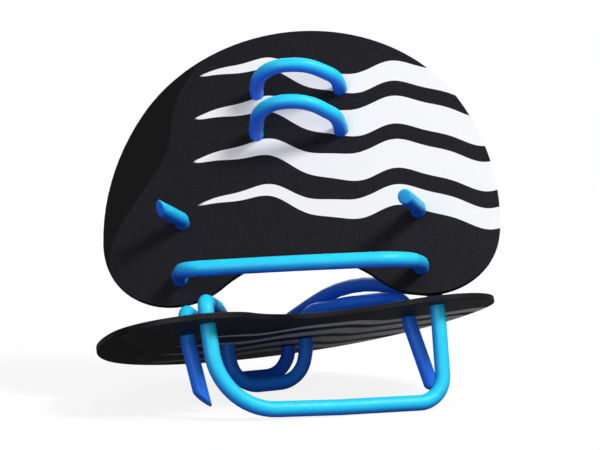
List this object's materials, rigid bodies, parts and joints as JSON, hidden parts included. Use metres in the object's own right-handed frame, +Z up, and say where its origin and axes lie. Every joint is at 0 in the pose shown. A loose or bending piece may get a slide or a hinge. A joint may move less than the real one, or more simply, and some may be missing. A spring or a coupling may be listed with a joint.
{
  "type": "swim hand paddles",
  "caption": "Pair of kidney-shaped swim hand paddles, each laced with a round rubber cord that forms a wrist strap and finger loops; one leans on the other.",
  "frame": {"origin": "centre of the pair's bounding box, on the table it rests on", "axes": "+Z up, +Y away from the front view, +X to the right"},
  "size_m": [0.201, 0.1808, 0.1919],
  "materials": {
    "plate": "fine matte grain",
    "cord": "smooth satin"
  },
  "bodies": {
    "lying_paddle": {"lying_plate": "plate", "lying_outer_link": "cord", "lying_inner_link": "cord", "lying_over_link": "cord", "lying_under_link": "cord", "lying_left_tail": "cord", "lying_right_tail": "cord"},
    "lying_wrist_strap_body": {"lying_wrist_strap": "cord"},
    "lying_tip_loop_body": {"lying_tip_loop": "cord"},
    "lying_palm_loop_body": {"lying_palm_loop": "cord"},
    "standing_paddle": {"standing_plate": "plate", "standing_outer_link": "cord", "standing_inner_link": "cord", "standing_over_link": "cord", "standing_under_link": "cord", "standing_left_tail": "cord", "standing_right_tail": "cord"},
    "standing_wrist_strap_body": {"standing_wrist_strap": "cord"},
    "standing_tip_loop_body": {"standing_tip_loop": "cord"},
    "standing_palm_loop_body": {"standing_palm_loop": "cord"}
  },
  "joints": [
    {"name": "standing_lift", "type": "slide", "parent": "lying_paddle", "child": "standing_paddle", "axis": [0, 0, 1], "range_m": [0, 0.25]},
    {"name": "standing_wrist_strap_swing", "type": "hinge", "parent": "standing_paddle", "child": "standing_wrist_strap_body", "pos_m": [0.00066, -0.03139, 0.06708], "axis": [0.9959, -0.0722, 0.0538], "range_deg": [-25, 12], "stiffness_Nm_per_rad": 0.4},
    {"name": "standing_tip_loop_swing", "type": "hinge", "parent": "standing_paddle", "child": "standing_tip_loop_body", "pos_m": [-0.00028, 0.02482, 0.15996], "axis": [0.9959, -0.0722, 0.0538], "range_deg": [-20, 20], "stiffness_Nm_per_rad": 0.3},
    {"name": "standing_palm_loop_swing", "type": "hinge", "parent": "standing_paddle", "child": "standing_palm_loop_body", "pos_m": [-0.00006, 0.01136, 0.13772], "axis": [0.9959, -0.0722, 0.0538], "range_deg": [-20, 20], "stiffness_Nm_per_rad": 0.3},
    {"name": "lying_wrist_strap_swing", "type": "hinge", "parent": "lying_paddle", "child": "lying_wrist_strap_body", "pos_m": [0.014, -0.05176, 0.04265], "axis": [0.9223, 0.3843, 0.0404], "range_deg": [-20, 10], "stiffness_Nm_per_rad": 0.4},
    {"name": "lying_tip_loop_swing", "type": "hinge", "parent": "lying_paddle", "child": "lying_tip_loop_body", "pos_m": [-0.02529, 0.04548, 0.01455], "axis": [0.9223, 0.3843, 0.0404], "range_deg": [-18, 18], "stiffness_Nm_per_rad": 0.3},
    {"name": "lying_palm_loop_swing", "type": "hinge", "parent": "lying_paddle", "child": "lying_palm_loop_body", "pos_m": [-0.01588, 0.0222, 0.02128], "axis": [0.9223, 0.3843, 0.0404], "range_deg": [-18, 18], "stiffness_Nm_per_rad": 0.3}
  ]
}
